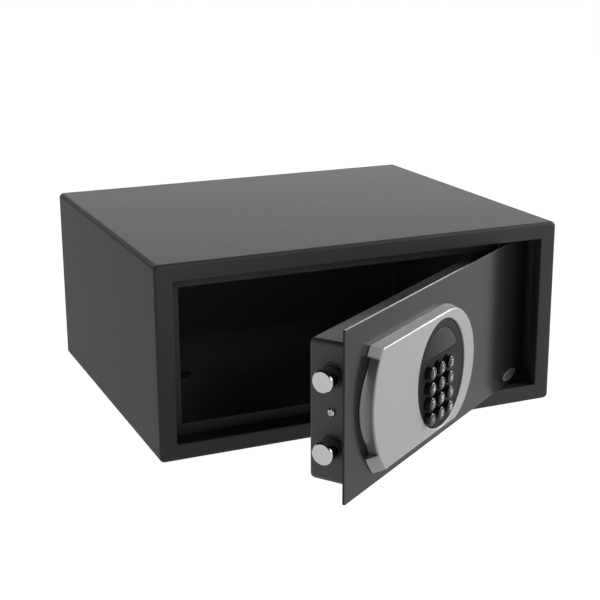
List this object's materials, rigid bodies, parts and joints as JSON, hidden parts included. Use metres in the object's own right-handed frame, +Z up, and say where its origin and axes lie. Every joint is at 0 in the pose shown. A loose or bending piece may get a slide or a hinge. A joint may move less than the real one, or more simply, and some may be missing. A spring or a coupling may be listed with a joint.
{
  "type": "in-room hotel safe",
  "caption": "Laptop-size in-room hotel safe with a recessed hinged door, motor bolts, an oval keypad with a display window and a finger-pull housing.",
  "frame": {"origin": "centre of the safe's floor, on its underside", "axes": "+Z up, the doorway faces -Y, +X to the right as one faces the door; the door is shown 35 degrees open"},
  "size_m": [0.43, 0.5436, 0.192],
  "materials": {
    "casing_coat": "charcoal textured powder coat",
    "door_coat": "charcoal textured powder coat",
    "pan_coat": "charcoal powder coat",
    "bolt_chrome": "polished chrome",
    "zinc_steel": "bright zinc plate",
    "pin_steel": "ground steel",
    "bush_plastic": "moulded nylon",
    "silver_plastic": "satin silver paint on moulded plastic",
    "keypad_plastic": "dark semi-gloss moulded plastic",
    "display_lens": "dark tinted lens",
    "button_plastic": "gloss black",
    "black_plastic": "matt black",
    "board": "solder mask",
    "battery_sleeve": "printed sleeve",
    "mat_felt": "needle felt",
    "badge_metal": "dark anodised oval",
    "wire_rubber": "flexible sleeve"
  },
  "bodies": {
    "safe_body": {"casing": "casing_coat", "strike_frame": "casing_coat", "rear_panel": "casing_coat", "floor_mat": "mat_felt", "hinge_bracket_top": "zinc_steel", "hinge_bracket_bottom": "zinc_steel", "hinge_pin_top": "pin_steel", "hinge_pin_bottom": "pin_steel"},
    "door": {"door_plate": "door_coat", "door_pan": "pan_coat", "hinge_bush_top": "bush_plastic", "hinge_bush_bottom": "bush_plastic", "bolt_bush_upper": "bush_plastic", "bolt_bush_lower": "bush_plastic", "bolt_guide_plate": "zinc_steel", "gear_motor": "black_plastic", "wire_lead": "wire_rubber", "battery_holder": "black_plastic", "battery_1": "battery_sleeve", "battery_2": "battery_sleeve", "battery_3": "battery_sleeve", "battery_4": "battery_sleeve", "battery_cover": "pan_coat", "cover_screw_upper": "zinc_steel", "cover_screw_lower": "zinc_steel", "side_screw": "bolt_chrome", "keypad_housing": "silver_plastic", "keypad_panel": "keypad_plastic", "display_window": "display_lens", "circuit_board": "board", "display_module": "black_plastic", "oval_badge": "badge_metal"},
    "bolt_carriage": {"bolt_upper": "bolt_chrome", "bolt_lower": "bolt_chrome", "bolt_bar": "zinc_steel"},
    "pinion": {"drive_pinion": "zinc_steel"},
    "key_1": {"button_1": "button_plastic"},
    "key_2": {"button_2": "button_plastic"},
    "key_3": {"button_3": "button_plastic"},
    "key_4": {"button_4": "button_plastic"},
    "key_5": {"button_5": "button_plastic"},
    "key_6": {"button_6": "button_plastic"},
    "key_7": {"button_7": "button_plastic"},
    "key_8": {"button_8": "button_plastic"},
    "key_9": {"button_9": "button_plastic"},
    "key_star": {"button_star": "button_plastic"},
    "key_0": {"button_0": "button_plastic"},
    "key_hash": {"button_hash": "button_plastic"}
  },
  "joints": [
    {"name": "door_hinge", "type": "hinge", "parent": "safe_body", "child": "door", "pos_m": [0.1716, -0.1389, 0.096], "axis": [0, 0, 1], "range_deg": [-35, 57]},
    {"name": "bolt_slide", "type": "slide", "parent": "door", "child": "bolt_carriage", "axis": [0.8192, 0.5736, 0], "range_m": [0, 0.016]},
    {"name": "pinion_spin", "type": "hinge", "parent": "door", "child": "pinion", "pos_m": [-0.06082, -0.30665, 0.096], "axis": [0.5736, -0.8192, 0], "range_deg": [0, 115]},
    {"name": "press_1", "type": "slide", "parent": "door", "child": "key_1", "axis": [-0.5736, 0.8192, 0], "range_m": [0, 0.0015], "stiffness_N_per_m": 350, "springref_m": -0.0008},
    {"name": "press_2", "type": "slide", "parent": "door", "child": "key_2", "axis": [-0.5736, 0.8192, 0], "range_m": [0, 0.0015], "stiffness_N_per_m": 350, "springref_m": -0.0008},
    {"name": "press_3", "type": "slide", "parent": "door", "child": "key_3", "axis": [-0.5736, 0.8192, 0], "range_m": [0, 0.0015], "stiffness_N_per_m": 350, "springref_m": -0.0008},
    {"name": "press_4", "type": "slide", "parent": "door", "child": "key_4", "axis": [-0.5736, 0.8192, 0], "range_m": [0, 0.0015], "stiffness_N_per_m": 350, "springref_m": -0.0008},
    {"name": "press_5", "type": "slide", "parent": "door", "child": "key_5", "axis": [-0.5736, 0.8192, 0], "range_m": [0, 0.0015], "stiffness_N_per_m": 350, "springref_m": -0.0008},
    {"name": "press_6", "type": "slide", "parent": "door", "child": "key_6", "axis": [-0.5736, 0.8192, 0], "range_m": [0, 0.0015], "stiffness_N_per_m": 350, "springref_m": -0.0008},
    {"name": "press_7", "type": "slide", "parent": "door", "child": "key_7", "axis": [-0.5736, 0.8192, 0], "range_m": [0, 0.0015], "stiffness_N_per_m": 350, "springref_m": -0.0008},
    {"name": "press_8", "type": "slide", "parent": "door", "child": "key_8", "axis": [-0.5736, 0.8192, 0], "range_m": [0, 0.0015], "stiffness_N_per_m": 350, "springref_m": -0.0008},
    {"name": "press_9", "type": "slide", "parent": "door", "child": "key_9", "axis": [-0.5736, 0.8192, 0], "range_m": [0, 0.0015], "stiffness_N_per_m": 350, "springref_m": -0.0008},
    {"name": "press_star", "type": "slide", "parent": "door", "child": "key_star", "axis": [-0.5736, 0.8192, 0], "range_m": [0, 0.0015], "stiffness_N_per_m": 350, "springref_m": -0.0008},
    {"name": "press_0", "type": "slide", "parent": "door", "child": "key_0", "axis": [-0.5736, 0.8192, 0], "range_m": [0, 0.0015], "stiffness_N_per_m": 350, "springref_m": -0.0008},
    {"name": "press_hash", "type": "slide", "parent": "door", "child": "key_hash", "axis": [-0.5736, 0.8192, 0], "range_m": [0, 0.0015], "stiffness_N_per_m": 350, "springref_m": -0.0008}
  ],
  "couplings": [
    {"joint": "pinion_spin", "follows": "bolt_slide", "rad_per_m": 125}
  ]
}
